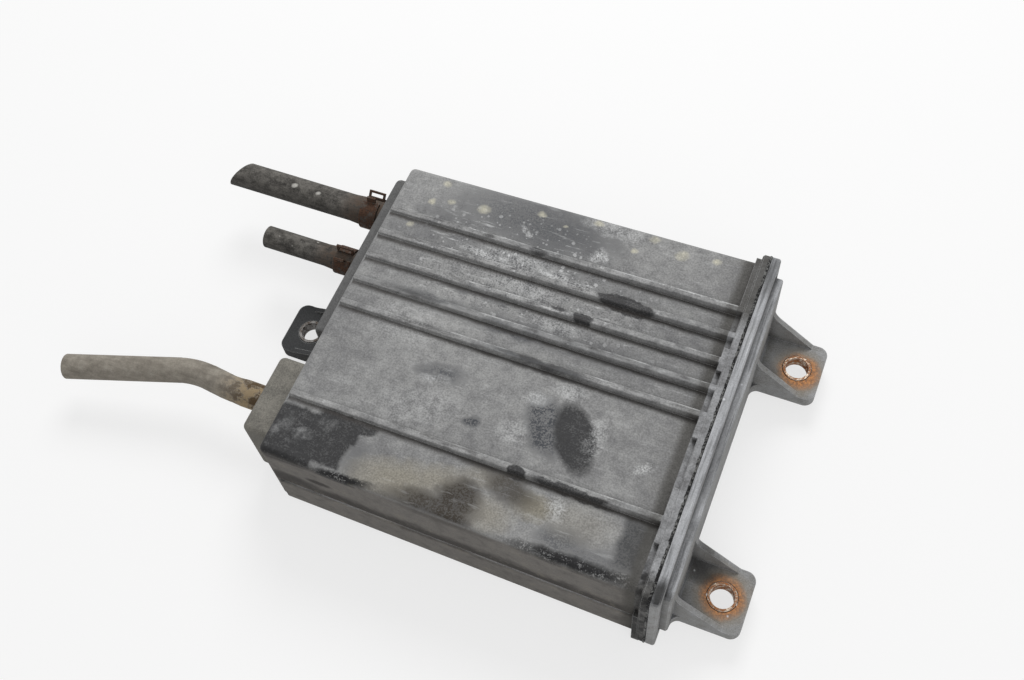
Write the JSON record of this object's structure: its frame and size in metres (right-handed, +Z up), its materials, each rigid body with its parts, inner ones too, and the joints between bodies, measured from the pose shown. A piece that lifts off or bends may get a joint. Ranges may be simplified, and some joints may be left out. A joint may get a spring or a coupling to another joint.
{
  "type": "charcoal canister",
  "caption": "Flat ribbed plastic fuel vapour canister with a welded end cover, bolt lugs with steel collars, and short rubber tank, purge and drain hoses at one end.",
  "frame": {"origin": "midway between the two cover bolts, on the plane that the lugs sit on", "axes": "+X from the hoses to the cover, +Y towards the tank hose's side, +Z up out of the lugs"},
  "size_m": [0.3522, 0.18, 0.059],
  "materials": {
    "casing_plastic": "weathered grey moulded plastic with dust and stains",
    "cover_plastic": "weathered grey moulded plastic with pale edges",
    "drain_box_plastic": "dusty beige-grey moulded plastic",
    "rusty_steel": "orange-brown rust with a bright bore",
    "plain_steel": "dull plated steel",
    "hose_rubber": "aged dark grey-brown rubber with dirt",
    "drain_hose_rubber": "rubber under beige-grey dust",
    "clamp_steel": "rusty brown spring steel",
    "carbon": "granular carbon",
    "filter_foam": "open filter pad",
    "plate_plastic": "plain moulded plastic",
    "spring_steel": "plain spring wire"
  },
  "bodies": {
    "root": {"casing": "casing_plastic", "end_cover": "cover_plastic", "drain_box": "drain_box_plastic", "drain_filter": "filter_foam", "back_cover_collar": "rusty_steel", "front_cover_collar": "rusty_steel", "end_lug_collar": "plain_steel", "tank_hose": "hose_rubber", "purge_hose": "hose_rubber", "drain_hose": "drain_hose_rubber", "tank_hose_clamp": "clamp_steel", "purge_hose_clamp": "clamp_steel", "main_carbon_bed": "carbon", "second_carbon_bed": "carbon", "main_port_filter": "filter_foam", "second_port_filter": "filter_foam", "main_cover_filter": "filter_foam", "second_cover_filter": "filter_foam", "main_pressure_plate": "plate_plastic", "second_pressure_plate": "plate_plastic", "main_spring_back": "spring_steel", "main_spring_front": "spring_steel", "second_spring": "spring_steel"}
  },
  "joints": []
}
